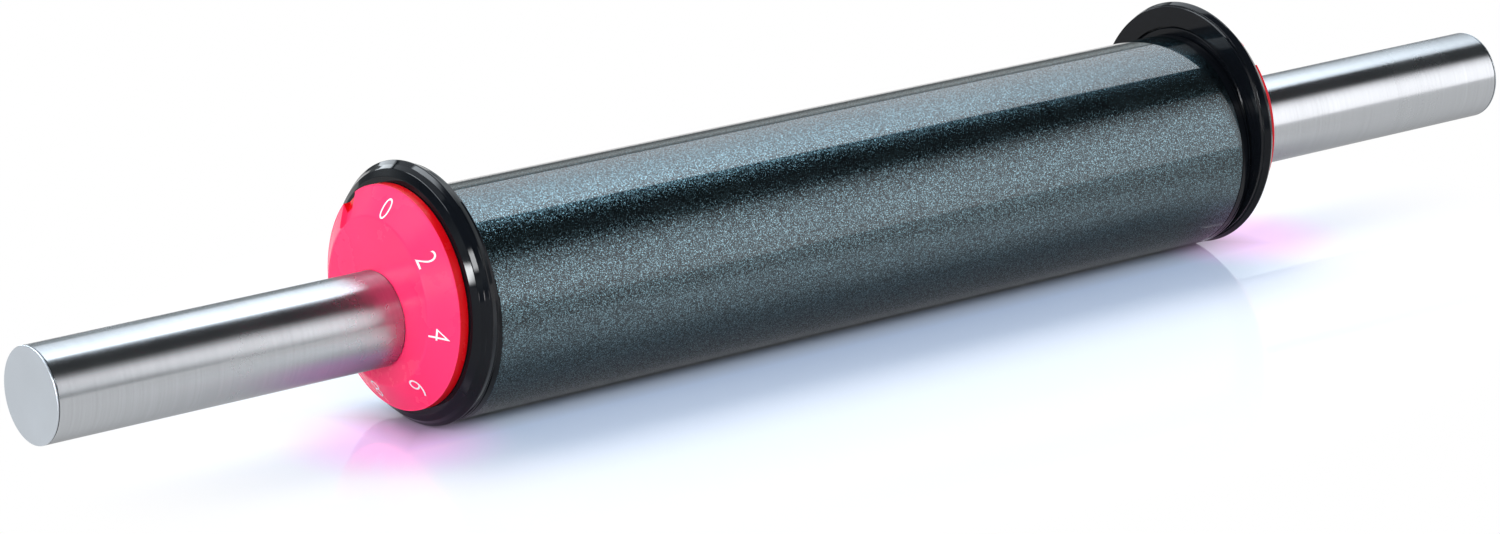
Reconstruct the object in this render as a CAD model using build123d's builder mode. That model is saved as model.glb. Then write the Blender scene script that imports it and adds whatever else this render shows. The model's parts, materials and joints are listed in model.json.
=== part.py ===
"""Adjustable rolling pin: a coated roller on ball bearings, with an eccentric dial and ring at each end.

Frame: X runs along the pin, Z is up, and the origin lies on the table under the middle of the
roller. Every piece of an end is drawn at the +X end and turned half a circle about Z for the
other end, because the two ends use the same pieces. The dials are drawn at setting 0, where
each ring's centre is straight above the roller's axis and its rim is level with the roller
at the bottom.
"""

import math
import os

from build123d import *

# Roller
roller_radius = 30.0
roller_length = 256.0
roller_wall = 2.5
roller_edge_chamfer = 0.3

# Eccentric and ring
eccentricity = 4.5
ring_back_strip = 0.9
ring_back_drop = 1.0
ring_back_lip = 0.3
ring_step_height = 0.3
ring_taper_strip = 1.6
ring_tread_strip = 0.4
ring_shoulder_strip = 1.0
ring_shoulder_drop = 1.0
ring_brow_strip = 1.2
ring_brow_drop = 0.8
ring_nose_strip = 1.1
ring_nose_width = 1.5
ring_nose_round = 0.25
ring_play = 0.5

# Dial
hub_inset = 5.0
dial_overhang = 4.3
dial_side = 2.6
dial_edge_setback = 0.3
dial_edge_round = 0.25
dial_band_width = 7.1
dial_band_rise = 4.8
dial_to_ring_gap = 0.3
setting_travel = 180.0
notch_angle = 40.0
notch_width = 7.0
notch_runout = 2.5
notch_depth = 1.6
notch_corner = 2.4

# Handle
handle_radius = 12.5
handle_wall = 1.5
handle_shoulder_step = 0.3
handle_shoulder_gap = 0.3
grip_length = 101.8
handle_rim_chamfer = 0.35
disc_flange = 0.6
disc_plug_length = 2.5
disc_edge_chamfer = 0.15
insert_margin = 5.0

# Axle
axle_shoulder = 2.0
axle_chamfer = 0.5
thread_step = 1.5
thread_length = 25.0

# Ball bearing, standard size with a 15 mm bore, 32 mm outside and 9 mm wide
bearing_bore_radius = 7.5
bearing_outer_radius = 16.0
bearing_width = 9.0
race_land_offset = 1.85
ball_radius = 2.38
ball_count = 9
race_chamfer = 0.4
cage_thickness = 1.6
cage_side_wall = 0.6

# End cap
cap_flange = 3.0
cap_tail = 3.2
cap_wall = 2.2
cap_lip = 2.3
cap_lip_overlap = 2.0
cap_rib_count = 6
cap_rib_thickness = 1.8
cap_rib_setback = 2.0
cap_line_offset = 0.9
cap_line_width = 0.35
cap_line_depth = 0.3
cap_edge_chamfer = 0.3

# Circlip that holds the bearing in the cap
circlip_thickness = 1.2
circlip_groove_depth = 1.0
circlip_height = 2.4
circlip_gap_angle = 50.0

# Stop washer and its pin
stop_washer_rim = 0.6
stop_washer_thickness = 2.0
stop_pin_share = 0.1875
stop_pin_reach = 3.8
stop_pin_angle = 180.0
washer_recess_depth = 2.2
spacer_wall = 2.5
washer_to_plate_gap = 0.4

# Retainer plate that keeps the ring on the hub
retainer_thickness = 1.4
retainer_overlap = 2.5
screw_inset = 4.2
screw_angles = (0.0, 72.0, -72.0)
screw_shank_radius = 1.25
screw_head_radius = 2.3
screw_head_height = 1.0
screw_head_land = 0.15
screw_length = 5.5
screw_slot_width = 0.5
screw_slot_depth = 0.5

# Friction rings between the handle and the dial's hub
friction_ring_section = 0.9
friction_ring_sink = 0.5
friction_ring_shares = (0.28, 0.72)

# Clearances
fit_gap = 0.05
recess_gap = 0.4
groove_gap = 0.04
cut_overrun = 1.0

# Places along X at the +X end, outward from the roller's middle
roller_end = roller_length / 2
cap_face = roller_end + cap_flange
washer_seat = cap_face - washer_recess_depth
bearing_face = washer_seat - cap_lip
bearing_back = bearing_face - bearing_width
cap_plug_end = bearing_back - circlip_thickness - cap_tail
washer_back = washer_seat + recess_gap
washer_face = washer_back + stop_washer_thickness
ring_back = cap_face + ring_play
ring_step = ring_back + ring_back_strip
ring_tread = ring_step + ring_taper_strip
ring_shoulder = ring_tread + ring_tread_strip + ring_shoulder_strip
ring_brow = ring_shoulder + ring_brow_strip
ring_front = ring_brow + ring_nose_strip
plate_back = washer_face + washer_to_plate_gap
plate_face = plate_back + retainer_thickness
dial_back = ring_front + dial_to_ring_gap
dial_edge = dial_back + dial_side
dial_face = dial_edge + dial_band_rise
handle_shoulder = dial_face + handle_shoulder_gap
handle_end = handle_shoulder + grip_length
tube_end = handle_end - disc_flange
axle_end = washer_face + thread_length

# Heights and radii worked out from the sizes above
axis_height = roller_radius
ring_height = axis_height + eccentricity
ring_radius = roller_radius + eccentricity
hub_radius = roller_radius - hub_inset
handle_seat_radius = handle_radius - handle_shoulder_step
hub_bore = handle_seat_radius + fit_gap
hub_thin_wall = hub_radius - eccentricity - handle_radius
dial_radius = hub_radius + dial_overhang
dial_band_outside = dial_radius - dial_edge_setback
dial_face_radius = dial_band_outside - dial_band_width
handle_bore = handle_radius - handle_wall
axle_radius = bearing_bore_radius + axle_shoulder
journal_radius = bearing_bore_radius - fit_gap
thread_radius = bearing_bore_radius - thread_step
ball_circle = (bearing_bore_radius + bearing_outer_radius) / 2
race_groove_radius = ball_radius + groove_gap
stop_pin_circle = handle_radius + hub_thin_wall / 2
stop_pin_radius = stop_pin_share * hub_thin_wall
stop_washer_radius = stop_pin_circle + stop_pin_radius + stop_washer_rim
retainer_radius = hub_radius + retainer_overlap
screw_circle = hub_radius - screw_inset


def direction(angle):
    """Unit (y, z) of an angle measured from straight up towards +Y."""
    return math.sin(math.radians(angle)), math.cos(math.radians(angle))


def across(x, height):
    """Sketch plane square to the pin at x, seen from outside, with Z up."""
    return Plane(origin=(x, 0, height), x_dir=(0, 1, 0), z_dir=(1, 0, 0))


def turned(profile, height):
    """Solid turned about the X direction at a height, from its (x, radius) outline."""
    lengthwise = Plane(origin=(0, 0, height), x_dir=(1, 0, 0), z_dir=(0, -1, 0))
    with BuildPart() as blank:
        with BuildSketch(lengthwise):
            with BuildLine():
                Polyline(*profile, close=True)
            make_face()
        revolve(axis=Axis((0, 0, height), (1, 0, 0)))
    return blank.part


def sleeve(start, end, inner, outer, height=axis_height, chamfer_size=0.0):
    """Sleeve from start to end along X, or a rod where inner is zero; its outer edges may be chamfered."""
    square = [(start, inner), (start, outer), (end, outer), (end, inner)]
    chamfered = [
        (start, inner),
        (start, outer - chamfer_size),
        (start + chamfer_size, outer),
        (end - chamfer_size, outer),
        (end, outer - chamfer_size),
        (end, inner),
    ]
    return turned(chamfered if chamfer_size else square, height)


# Roller and axle


def make_roller_tube():
    with BuildPart() as tube:
        add(sleeve(-roller_end, roller_end, roller_radius - roller_wall, roller_radius, axis_height, roller_edge_chamfer))
    return tube.part


def make_axle():
    with BuildPart() as axle:
        add(sleeve(-axle_end, axle_end, 0, thread_radius, axis_height, axle_chamfer))
        add(sleeve(-washer_face, washer_face, 0, journal_radius))
        add(sleeve(-bearing_back, bearing_back, 0, axle_radius, axis_height, axle_chamfer))
    return axle.part


# Bearing, end cap and what is between them


def make_end_cap():
    plug_radius = roller_radius - roller_wall - fit_gap
    seat_radius = bearing_outer_radius + fit_gap
    lip_bore = bearing_outer_radius - cap_lip_overlap
    groove_end = bearing_back - fit_gap
    groove_start = groove_end - circlip_thickness - fit_gap
    groove_radius = seat_radius + circlip_groove_depth
    boss_radius = groove_radius + cap_wall
    skirt_bore = plug_radius - cap_wall
    line_start = cap_face - cap_line_offset - cap_line_width
    line_end = cap_face - cap_line_offset
    recess_radius = stop_washer_radius + recess_gap
    with BuildPart() as cap:
        add(turned(
            [
                (cap_plug_end, seat_radius),
                (cap_plug_end, boss_radius),
                (bearing_face, boss_radius),
                (bearing_face, skirt_bore),
                (cap_plug_end, skirt_bore),
                (cap_plug_end, plug_radius - cap_edge_chamfer),
                (cap_plug_end + cap_edge_chamfer, plug_radius),
                (roller_end + fit_gap, plug_radius),
                (roller_end + fit_gap, roller_radius),
                (line_start, roller_radius),
                (line_start, roller_radius - cap_line_depth),
                (line_end, roller_radius - cap_line_depth),
                (line_end, roller_radius),
                (cap_face - cap_edge_chamfer, roller_radius),
                (cap_face, roller_radius - cap_edge_chamfer),
                (cap_face, recess_radius),
                (washer_seat, recess_radius),
                (washer_seat, lip_bore),
                (bearing_face + fit_gap, lip_bore),
                (bearing_face + fit_gap, seat_radius),
                (groove_end, seat_radius),
                (groove_end, groove_radius),
                (groove_start, groove_radius),
                (groove_start, seat_radius),
            ],
            axis_height,
        ))
        with BuildSketch(across(cap_plug_end + cap_rib_setback, axis_height)):
            with PolarLocations((boss_radius + skirt_bore) / 2, cap_rib_count):
                Rectangle(skirt_bore - boss_radius + cap_wall, cap_rib_thickness)
        extrude(amount=bearing_face - cap_plug_end - cap_rib_setback)
    return cap.part


def make_outer_race():
    with BuildPart() as race:
        outer_land = ball_circle + race_land_offset
        add(sleeve(bearing_back, bearing_face, outer_land, bearing_outer_radius, axis_height, race_chamfer))
        add(ball_track(), mode=Mode.SUBTRACT)
    return race.part


def make_inner_race():
    with BuildPart() as race:
        inner_land = ball_circle - race_land_offset
        add(sleeve(bearing_back, bearing_face, bearing_bore_radius, inner_land, axis_height, race_chamfer))
        add(ball_track(), mode=Mode.SUBTRACT)
    return race.part


def ball_track():
    """Ring-shaped space that the balls run in."""
    track_plane = Plane(origin=(0, 0, axis_height), x_dir=(1, 0, 0), z_dir=(0, -1, 0))
    with BuildPart() as track:
        with BuildSketch(track_plane):
            with Locations(((bearing_back + bearing_face) / 2, ball_circle)):
                Circle(race_groove_radius)
        revolve(axis=Axis((0, 0, axis_height), (1, 0, 0)))
    return track.part


def make_balls():
    with BuildPart() as balls:
        with Locations(across((bearing_back + bearing_face) / 2, axis_height)):
            with PolarLocations(ball_circle, ball_count):
                Sphere(ball_radius)
    return balls.part


def make_cage():
    cage_half_width = race_groove_radius + cage_side_wall
    middle = (bearing_back + bearing_face) / 2
    with BuildPart() as cage:
        add(sleeve(
            middle - cage_half_width,
            middle + cage_half_width,
            ball_circle - cage_thickness / 2,
            ball_circle + cage_thickness / 2,
        ))
        with Locations(across(middle, axis_height)):
            with PolarLocations(ball_circle, ball_count):
                Cylinder(race_groove_radius, 2 * cage_thickness, rotation=(0, 90, 0), mode=Mode.SUBTRACT)
    return cage.part


def make_bearing_circlip():
    outer = bearing_outer_radius + circlip_groove_depth - fit_gap
    start = bearing_back - circlip_thickness - fit_gap
    with BuildPart() as circlip:
        add(sleeve(start, bearing_back - fit_gap, outer - circlip_height, outer))
        with BuildSketch(across(start - cut_overrun, axis_height)):
            with BuildLine():
                gap_reach = outer + cut_overrun
                low = direction(180 - circlip_gap_angle / 2)
                high = direction(180 + circlip_gap_angle / 2)
                Polyline(
                    (0, 0),
                    (gap_reach * low[0], gap_reach * low[1]),
                    (0, -2 * gap_reach),
                    (gap_reach * high[0], gap_reach * high[1]),
                    close=True,
                )
            make_face()
        extrude(amount=circlip_thickness + 2 * cut_overrun, mode=Mode.SUBTRACT)
    return circlip.part


def make_bearing_spacer():
    with BuildPart() as spacer:
        add(sleeve(bearing_face, washer_back, bearing_bore_radius, bearing_bore_radius + spacer_wall))
    return spacer.part


# Stop washer, with the pin that ends the dial's travel


def stop_pin_place():
    y, z = direction(stop_pin_angle)
    return stop_pin_circle * y, stop_pin_circle * z


def make_stop_washer():
    with BuildPart() as washer:
        add(sleeve(washer_back, washer_face, bearing_bore_radius, stop_washer_radius, axis_height, cap_edge_chamfer))
        with BuildSketch(across(washer_back - cut_overrun, axis_height)):
            with Locations(stop_pin_place()):
                Circle(stop_pin_radius + fit_gap)
        extrude(amount=stop_washer_thickness + 2 * cut_overrun, mode=Mode.SUBTRACT)
    return washer.part


def make_stop_pin():
    with BuildPart() as pin:
        with BuildSketch(across(washer_back, axis_height)):
            with Locations(stop_pin_place()):
                Circle(stop_pin_radius)
        extrude(amount=stop_washer_thickness + stop_pin_reach)
        chamfer(pin.edges().group_by(Axis.X)[-1], cap_edge_chamfer)
    return pin.part


def stop_slot(start, end):
    """Curved slot for the stop pin, which stands at its lower end at setting 0."""
    pin_from_y = 90 - stop_pin_angle
    with BuildPart() as slot:
        with BuildSketch(across(start, axis_height)):
            with BuildLine(mode=Mode.PRIVATE):
                travel = CenterArc((0, 0), stop_pin_circle, pin_from_y - setting_travel, setting_travel)
            SlotArc(travel, 2 * (stop_pin_radius + recess_gap / 2))
        extrude(amount=end - start)
    return slot.part


# Dial with its eccentric hub, and the ring that turns on it


def make_dial():
    slot_floor = washer_face + stop_pin_reach + recess_gap
    band_length = math.hypot(dial_band_rise, dial_band_width)
    normal_x = dial_band_width / band_length
    normal_out = dial_band_rise / band_length
    side_y, side_z = direction(-notch_angle)
    band_middle = (dial_band_outside + dial_face_radius) / 2
    with BuildPart() as dial:
        add(turned(
            [
                (plate_face, 0),
                (plate_face, hub_radius),
                (dial_back, hub_radius),
                (dial_back, dial_radius),
                (dial_edge, dial_radius),
                (dial_edge, dial_band_outside),
                (dial_face, dial_face_radius),
                (dial_face, 0),
            ],
            ring_height,
        ))
        rim = dial.edges().filter_by(GeomType.CIRCLE).filter_by(lambda edge: edge.radius > dial_radius - fit_gap)
        fillet(rim, dial_edge_round)
        add(sleeve(plate_face - cut_overrun, dial_face + cut_overrun, 0, hub_bore), mode=Mode.SUBTRACT)
        for place in friction_ring_places():
            add(friction_ring(place, fit_gap), mode=Mode.SUBTRACT)
        add(stop_slot(plate_face - cut_overrun, slot_floor), mode=Mode.SUBTRACT)
        notch_plane = Plane(
            origin=(
                (dial_edge + dial_face) / 2,
                band_middle * side_y,
                ring_height + band_middle * side_z,
            ),
            x_dir=(0, side_z, -side_y),
            z_dir=(normal_x, normal_out * side_y, normal_out * side_z),
        )
        with BuildSketch(notch_plane.offset(-notch_depth)):
            with Locations((0, notch_runout / 2)):
                RectangleRounded(notch_width, band_length + notch_runout, notch_corner)
        extrude(amount=notch_depth + cut_overrun, mode=Mode.SUBTRACT)
        with BuildSketch(across(plate_face - cut_overrun, ring_height)):
            for angle in screw_angles:
                y, z = direction(angle)
                with Locations((screw_circle * y, screw_circle * z)):
                    Circle(screw_shank_radius + fit_gap)
        extrude(amount=screw_length - retainer_thickness + recess_gap + cut_overrun, mode=Mode.SUBTRACT)
    return dial.part


def make_ring():
    bore = hub_radius + fit_gap
    recess_radius = retainer_radius + recess_gap
    recess_floor = plate_face + fit_gap
    back_radius = ring_radius - ring_back_drop
    shoulder_radius = ring_radius - ring_shoulder_drop
    with BuildPart() as ring:
        add(turned(
            [
                (ring_back, recess_radius),
                (ring_back, back_radius - ring_back_lip),
                (ring_back + ring_back_lip, back_radius),
                (ring_step, back_radius),
                (ring_step, back_radius + ring_step_height),
                (ring_tread, ring_radius),
                (ring_tread + ring_tread_strip, ring_radius),
                (ring_shoulder, shoulder_radius),
                (ring_brow, shoulder_radius - ring_brow_drop),
                (ring_front, dial_radius + ring_nose_width),
                (ring_front, bore),
                (recess_floor, bore),
                (recess_floor, recess_radius),
            ],
            ring_height,
        ))
        rim = ring.edges().filter_by(GeomType.CIRCLE).filter_by(lambda edge: edge.radius > dial_radius + fit_gap)
        fillet(rim.group_by(Axis.X)[-1], ring_nose_round)
    return ring.part


def make_ring_retainer():
    with BuildPart() as plate:
        add(sleeve(plate_back, plate_face, 0, retainer_radius, ring_height, cap_edge_chamfer))
        add(sleeve(plate_back - cut_overrun, plate_face + cut_overrun, 0, hub_bore + recess_gap), mode=Mode.SUBTRACT)
        add(stop_slot(plate_back - cut_overrun, plate_face + cut_overrun), mode=Mode.SUBTRACT)
        for angle in screw_angles:
            add(screw_blank(angle, fit_gap, cut_overrun), mode=Mode.SUBTRACT)
    return plate.part


def screw_blank(angle, clearance, head_overrun):
    """Countersunk screw at an angle round the dial, grown by a clearance where it cuts its hole."""
    y, z = direction(angle)
    head_start = plate_back + fit_gap
    shank_start = head_start + screw_head_height
    lengthwise = Plane(
        origin=(0, screw_circle * y, ring_height + screw_circle * z), x_dir=(1, 0, 0), z_dir=(0, -1, 0)
    )
    with BuildPart() as blank:
        with BuildSketch(lengthwise):
            with BuildLine():
                Polyline(
                    (head_start - head_overrun, 0),
                    (head_start - head_overrun, screw_head_radius + clearance),
                    (head_start + screw_head_land, screw_head_radius + clearance),
                    (shank_start, screw_shank_radius + clearance),
                    (head_start + screw_length, screw_shank_radius + clearance),
                    (head_start + screw_length, 0),
                    close=True,
                )
            make_face()
        revolve(axis=Axis(lengthwise.origin, (1, 0, 0)))
    return blank.part


def make_retainer_screws():
    with BuildPart() as screws:
        for angle in screw_angles:
            add(screw_blank(angle, 0, 0))
        with BuildSketch(across(plate_back + fit_gap, ring_height)):
            for angle in screw_angles:
                y, z = direction(angle)
                with Locations((screw_circle * y, screw_circle * z)):
                    Rectangle(2 * screw_head_radius + cut_overrun, screw_slot_width)
        extrude(amount=screw_slot_depth, mode=Mode.SUBTRACT)
    return screws.part


# Friction rings


def friction_ring_places():
    return [plate_face + share * (dial_face - plate_face) for share in friction_ring_shares]


def friction_ring(place, clearance):
    """One round-section ring at a place along X, grown by a clearance where it cuts its groove."""
    centre = handle_seat_radius + friction_ring_section - friction_ring_sink
    lengthwise = Plane(origin=(0, 0, axis_height), x_dir=(1, 0, 0), z_dir=(0, -1, 0))
    with BuildPart() as ring:
        with BuildSketch(lengthwise):
            with Locations((place, centre)):
                Circle(friction_ring_section + clearance)
        revolve(axis=Axis((0, 0, axis_height), (1, 0, 0)))
    return ring.part


def make_friction_rings():
    with BuildPart() as rings:
        for place in friction_ring_places():
            add(friction_ring(place, 0))
    return rings.part


# Handle


def make_handle_tube():
    with BuildPart() as tube:
        add(turned(
            [
                (washer_face, handle_bore),
                (washer_face, handle_seat_radius - handle_rim_chamfer),
                (washer_face + handle_rim_chamfer, handle_seat_radius),
                (handle_shoulder, handle_seat_radius),
                (handle_shoulder, handle_radius),
                (tube_end - disc_edge_chamfer, handle_radius),
                (tube_end, handle_radius - disc_edge_chamfer),
                (tube_end, handle_bore),
            ],
            axis_height,
        ))
        for place in friction_ring_places():
            add(friction_ring(place, fit_gap), mode=Mode.SUBTRACT)
    return tube.part


def make_handle_insert():
    with BuildPart() as insert:
        add(sleeve(
            washer_face,
            axle_end + insert_margin,
            thread_radius + fit_gap,
            handle_bore - fit_gap,
            axis_height,
            handle_rim_chamfer,
        ))
    return insert.part


def make_handle_end_disc():
    flange_back = tube_end + fit_gap
    plug_start = tube_end - disc_plug_length
    plug_radius = handle_bore - fit_gap
    with BuildPart() as disc:
        add(turned(
            [
                (plug_start, 0),
                (plug_start, plug_radius - disc_edge_chamfer),
                (plug_start + disc_edge_chamfer, plug_radius),
                (flange_back, plug_radius),
                (flange_back, handle_radius - disc_edge_chamfer),
                (flange_back + disc_edge_chamfer, handle_radius),
                (handle_end - disc_edge_chamfer, handle_radius),
                (handle_end, handle_radius - disc_edge_chamfer),
                (handle_end, 0),
            ],
            axis_height,
        ))
    return disc.part


# Export


end_pieces = {
    "end_cap": make_end_cap,
    "bearing_outer_race": make_outer_race,
    "bearing_inner_race": make_inner_race,
    "bearing_balls": make_balls,
    "bearing_cage": make_cage,
    "bearing_circlip": make_bearing_circlip,
    "bearing_spacer": make_bearing_spacer,
    "stop_washer": make_stop_washer,
    "stop_pin": make_stop_pin,
    "dial": make_dial,
    "ring": make_ring,
    "ring_retainer": make_ring_retainer,
    "retainer_screws": make_retainer_screws,
    "friction_rings": make_friction_rings,
    "handle_tube": make_handle_tube,
    "handle_insert": make_handle_insert,
    "handle_end_disc": make_handle_end_disc,
}


def save(part, name):
    part.label = name
    export_step(part, f"parts/{name}.step")


def main():
    os.makedirs("parts", exist_ok=True)
    save(make_roller_tube(), "roller_tube")
    save(make_axle(), "axle")
    for name, make in end_pieces.items():
        right = make()
        save(right, f"right_{name}")
        save(right.rotate(Axis.Z, 180), f"left_{name}")


main()
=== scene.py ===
"""Dresses the adjustable rolling pin: turned pieces, dial numerals, finishes and a plain studio.

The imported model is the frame, and every piece made here is drawn where the frame has its part.
A "reach" is a distance along the pin's length from the middle of the roller. The pieces of an end
are modelled once, at the right end, and a copy of each is turned half a circle about the upright
axis for the left end. Tables of corners are in millimetres.
"""

import json
import math

import bmesh
import bpy
from mathutils import Matrix, Quaternion, Vector


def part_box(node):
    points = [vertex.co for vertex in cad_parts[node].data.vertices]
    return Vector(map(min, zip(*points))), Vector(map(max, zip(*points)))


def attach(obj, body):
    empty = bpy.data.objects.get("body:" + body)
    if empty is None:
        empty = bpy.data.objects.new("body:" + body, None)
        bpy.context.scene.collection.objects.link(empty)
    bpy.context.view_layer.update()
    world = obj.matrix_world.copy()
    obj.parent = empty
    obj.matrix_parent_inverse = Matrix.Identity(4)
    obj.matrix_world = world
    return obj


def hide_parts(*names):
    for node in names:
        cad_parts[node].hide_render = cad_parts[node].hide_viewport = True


bl_info = {
    "name": "Adjustable rolling pin",
    "version": (1, 0, 0),
    "blender": (4, 5, 0),
    "location": "3D View > Sidebar > Rolling pin",
    "description": "Turned pieces, dial numerals, finishes and a studio for an adjustable rolling pin",
    "category": "Object",
}

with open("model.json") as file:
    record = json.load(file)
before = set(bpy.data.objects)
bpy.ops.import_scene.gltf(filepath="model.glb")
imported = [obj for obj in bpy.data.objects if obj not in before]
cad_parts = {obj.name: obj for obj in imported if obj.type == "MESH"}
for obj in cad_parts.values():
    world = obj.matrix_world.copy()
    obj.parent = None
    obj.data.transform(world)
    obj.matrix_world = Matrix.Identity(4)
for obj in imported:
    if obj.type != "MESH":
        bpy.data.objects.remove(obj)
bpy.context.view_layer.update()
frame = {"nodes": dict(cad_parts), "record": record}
nodes = frame["nodes"]

MM = 0.001
SAME_PLACE = 1e-5
MERGE_DISTANCE = 1e-6
# Painted shade: width over which the dials' sides fade from the band's red to a darker, deeper red
RIM_PAINTED_SHADE = 0.3 * MM
# Painted shade: width of the dark band in the seam where the handle's end disc meets its tube
SEAM_PAINTED_SHADE = 0.3 * MM


def middle_height(node):
    """Height of a node's centre line above the table."""
    lowest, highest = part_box(node)
    return (lowest.z + highest.z) / 2


AXIS_HEIGHT = middle_height("roller_tube")
RING_HEIGHT = middle_height("left_ring")

# Corners of the turned pieces: reach, radius, and the centre line that the corner is round
PIN = "pin"
RING = "ring"
ROLLER_CORNERS = ((128.0, 27.5, PIN), (128.0, 30.0, PIN), (-128.0, 30.0, PIN), (-128.0, 27.5, PIN))
RING_CORNERS = (
    (131.5, 27.9, RING), (131.5, 33.5, RING), (132.4, 33.5, RING), (132.4, 33.8, RING),
    (134.0, 34.5, RING), (134.4, 34.5, RING), (135.4, 33.5, RING), (136.6, 32.7, RING),
    (137.7, 30.8, RING), (137.7, 25.05, RING), (133.05, 25.05, RING), (133.05, 27.9, RING),
)
DIAL_CORNERS = (
    (133.0, 12.25, PIN), (133.0, 25.0, RING), (138.0, 25.0, RING), (138.0, 29.3, RING),
    (140.6, 29.3, RING), (140.6, 29.0, RING), (145.4, 21.9, RING), (145.4, 12.25, PIN),
)
HANDLE_CORNERS = (
    (131.2, 11.0, PIN), (131.2, 12.2, PIN), (145.7, 12.2, PIN), (145.7, 12.5, PIN),
    (246.9, 12.5, PIN), (246.9, 11.0, PIN),
)
DISC_CORNERS = ((244.4, 10.95, PIN), (246.95, 10.95, PIN), (246.95, 12.5, PIN), (247.5, 12.5, PIN))
SHOULDER_ROUND = 0.2 * MM

# Friction ring grooves in the dial's bore and in the handle
GROOVE_REACHES = (136.472, 141.928)
GROOVE_RADIUS = 0.95
GROOVE_CENTRE = 12.6
GROOVE_STEPS = 8

# Stop slot, retainer screw holes and index notch in the dial
SLOT_CIRCLE = 16.5
SLOT_HALF_WIDTH = 1.7
SLOT_FLOOR = 135.4
SLOT_STEPS = 48
SCREW_CIRCLE = 20.8
SCREW_ANGLES = (0.0, 72.0, -72.0)
SCREW_HOLE_RADIUS = 1.3
SCREW_HOLE_FLOOR = 137.5
NOTCH_ANGLE = -40.0
NOTCH_WIDTH = 7.0
NOTCH_RUNOUT = 2.5
NOTCH_DEPTH = 1.6
NOTCH_CORNER = 2.4
CUT_OVERRUN = 1.0

# Dial band that carries the numerals
BAND_INNER = (145.4, 21.9)
BAND_OUTER = (140.6, 29.0)
BAND_LENGTH = math.dist(BAND_INNER, BAND_OUTER)
NUMERALS = (("0", 5.0), ("2", 52.0), ("4", 98.0), ("6", 143.0), ("8", 188.0))
NUMERAL_THINNING = -0.016
NUMERAL_CURVE_STEPS = 8
NUMERAL_NARROWING = 0.84


# User settings


def length_setting(name, description, millimetres):
    return bpy.props.FloatProperty(
        name=name, description=description, default=millimetres * MM, unit="LENGTH", precision=5)


def colour_setting(name, description, colour):
    return bpy.props.FloatVectorProperty(
        name=name, description=description, default=colour, subtype="COLOR", min=0, max=1)


def light_setting(name, description, strength):
    return bpy.props.FloatProperty(name=name, description=description, default=strength, min=0)


class RollingPinSizes(bpy.types.PropertyGroup):
    steps: bpy.props.IntProperty(
        name="Steps round", description="Straight steps in each full circle", default=192, min=48, max=512)
    roller_edge: length_setting("Roller edge", "Rounding of the roller's ends", 0.3)
    ring_edge: length_setting("Ring creases", "Rounding of the ring's creases", 0.16)
    dial_rim: length_setting("Dial rim", "Rounding of the dial's outer rim", 0.14)
    dial_crease: length_setting("Dial crease", "Rounding where the dial's flat face meets its band", 0.5)
    disc_rim: length_setting("Disc rim", "Rounding round the handle's end disc", 0.25)
    numeral_height: length_setting("Numeral height", "Height of the dial's numerals", 5.8)
    numeral_place: bpy.props.FloatProperty(
        name="Numeral place",
        description="Share of the band's width from its inner line to the numerals' middle",
        default=0.39, min=0.3, max=0.7, subtype="FACTOR")
    numeral_ink: length_setting("Numeral ink", "Thickness of the printed numerals", 0.03)


class RollingPinColours(bpy.types.PropertyGroup):
    coating: colour_setting("Coating", "Ground of the roller's coating", (0.012, 0.018, 0.022))
    flakes: colour_setting("Flakes", "Metal flakes in the roller's coating", (0.19, 0.31, 0.36))
    ring: colour_setting("Ring", "Glossy black plastic of the rings and caps", (0.004, 0.005, 0.007))
    dial: colour_setting("Dial", "Red plastic of the dials", (0.96, 0.036, 0.145))
    # Painted shade: a darker, deeper copy of the dial red, given to the dials' sides
    dial_rim: colour_setting("Dial rim", "Deeper red of the dials' sides", (0.62, 0.002, 0.006))
    numerals: colour_setting("Numerals", "Printed numerals", (0.92, 0.9, 0.92))
    steel: colour_setting("Steel", "Brushed steel of the handles", (0.432, 0.45, 0.47))
    floor: colour_setting("Floor", "Studio floor", (0.8, 0.79, 0.78))
    # Painted light: the floor itself glows in this colour, as a cool fill in its shadow
    shadow: colour_setting("Shadow", "Cool light that fills the shadow on the floor", (0.13, 0.21, 0.36))
    # Painted light: pink bounce light and reflection of the dials, painted into the floor's colour, glow and
    # white
    painted_bounce: colour_setting("Bounce", "Pink light that the dials throw on the floor", (0.42, 0.29, 0.47))


class RollingPinStudio(bpy.types.PropertyGroup):
    overhead: light_setting("Overhead softboxes", "Brightness of the softboxes above and behind", 5.0)
    front: light_setting("Front softbox", "Brightness of the soft panel at the front right", 2.4)
    left: light_setting("Left softboxes", "Brightness of the small softboxes on the left", 74.0)
    key: bpy.props.FloatProperty(
        name="Key lamp", description="Power of the broad lamp above and behind", default=9.0, subtype="POWER")
    ambient: light_setting("Ambient", "Strength of the plain light from all round", 0.5)
    lens: bpy.props.FloatProperty(
        name="Lens", description="Focal length of the camera in millimetres", default=129.51, min=20)


def settings():
    return bpy.context.scene.rolling_pin_sizes


def colours():
    return bpy.context.scene.rolling_pin_colours


def studio():
    return bpy.context.scene.rolling_pin_studio


# Modelling helpers


def start_clean():
    """Nothing is selected, so that the next operator acts on its own piece alone."""
    bpy.ops.object.select_all(action="DESELECT")


def select_only(piece):
    start_clean()
    piece.select_set(True)
    bpy.context.view_layer.objects.active = piece


def place_in_mesh(piece):
    select_only(piece)
    bpy.ops.object.transform_apply(location=True, rotation=True, scale=True)


def name_piece(piece, name):
    piece.name = name
    piece.data.name = name
    return piece


def height_of(line):
    return RING_HEIGHT if line == RING else AXIS_HEIGHT


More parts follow.
